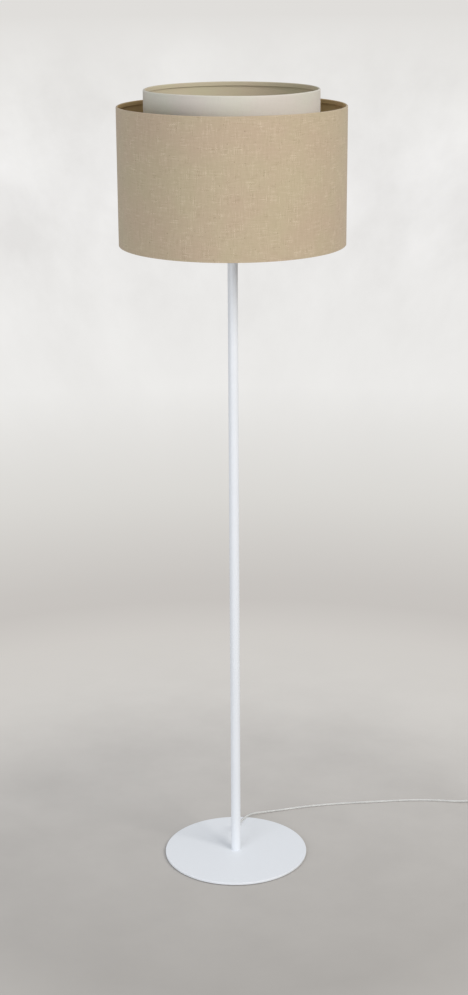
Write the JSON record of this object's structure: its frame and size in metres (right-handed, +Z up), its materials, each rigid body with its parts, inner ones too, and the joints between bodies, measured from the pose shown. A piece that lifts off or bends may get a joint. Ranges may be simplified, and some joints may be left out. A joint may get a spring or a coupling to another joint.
{
  "type": "column floor lamp",
  "caption": "Floor lamp with a round flat base, a slim straight column and two open drum shades, one standing proud inside the other, on a cord with a foot switch.",
  "frame": {"origin": "on the floor, under the centre of the round base and of the column", "axes": "+Z up along the column; +Y to the rear, where the cord leaves the column's foot; +X to the right of the lamp as it is seen from the front"},
  "size_m": [0.9686, 0.463, 1.5997],
  "materials": {
    "pads": "matt rubber",
    "powder_coat": "fine satin powder coat, pale silver white",
    "plated_steel": "zinc plated",
    "white_plastic": "moulded, satin",
    "holder_plastic": "moulded, half gloss",
    "contact_ceramic": "dense matt insulator",
    "brass": "bright",
    "opal_glass": "opal, satin",
    "cap_metal": "rolled thread",
    "outer_cloth": "coarse plain weave of natural fibre, laminated",
    "inner_cloth": "fine plain weave, off white, laminated",
    "wire_coat": "thin satin coat",
    "clear_cord": "clear soft sheath over pale cores",
    "nickel": "bright nickel plate"
  },
  "bodies": {
    "root": {"base_pads": "pads", "base_plate": "powder_coat", "base_screw": "plated_steel", "column_tube": "powder_coat", "foot_insert": "plated_steel", "top_insert": "white_plastic", "threaded_nipple": "plated_steel", "lock_nut": "plated_steel", "cord_relief": "white_plastic", "holder_cap": "holder_plastic", "holder_shell": "holder_plastic", "contact_block": "contact_ceramic", "centre_contact": "brass", "shade_ring": "holder_plastic", "cord_inner": "clear_cord", "cord_run": "clear_cord", "cord_coil": "clear_cord", "cord_lead": "clear_cord", "cord_tail": "clear_cord", "switch_base": "white_plastic", "switch_cover": "white_plastic", "switch_core": "contact_ceramic", "switch_screws": "plated_steel", "switch_reliefs": "white_plastic", "plug_body": "white_plastic", "plug_pins": "nickel"},
    "shades": {"frame_hub": "wire_coat", "frame_spokes": "wire_coat", "inner_shade": "inner_cloth", "inner_shade_top_ring": "wire_coat", "inner_shade_bottom_ring": "wire_coat", "outer_shade": "outer_cloth", "outer_shade_top_ring": "wire_coat", "outer_shade_bottom_ring": "wire_coat"},
    "bulb": {"bulb_globe": "opal_glass", "bulb_cap": "cap_metal"},
    "switch_button": {"switch_button": "white_plastic"}
  },
  "joints": [
    {"name": "shade_swivel", "type": "hinge", "parent": "root", "child": "shades", "pos_m": [0, 0, 1.339], "axis": [0, 0, 1], "continuous": true},
    {"name": "bulb_out", "type": "slide", "parent": "root", "child": "bulb", "axis": [0, 0, 1], "range_m": [0, 0.024]},
    {"name": "button_press", "type": "slide", "parent": "root", "child": "switch_button", "axis": [0, 0, -1], "range_m": [0, 0.0025], "stiffness_N_per_m": 600}
  ]
}
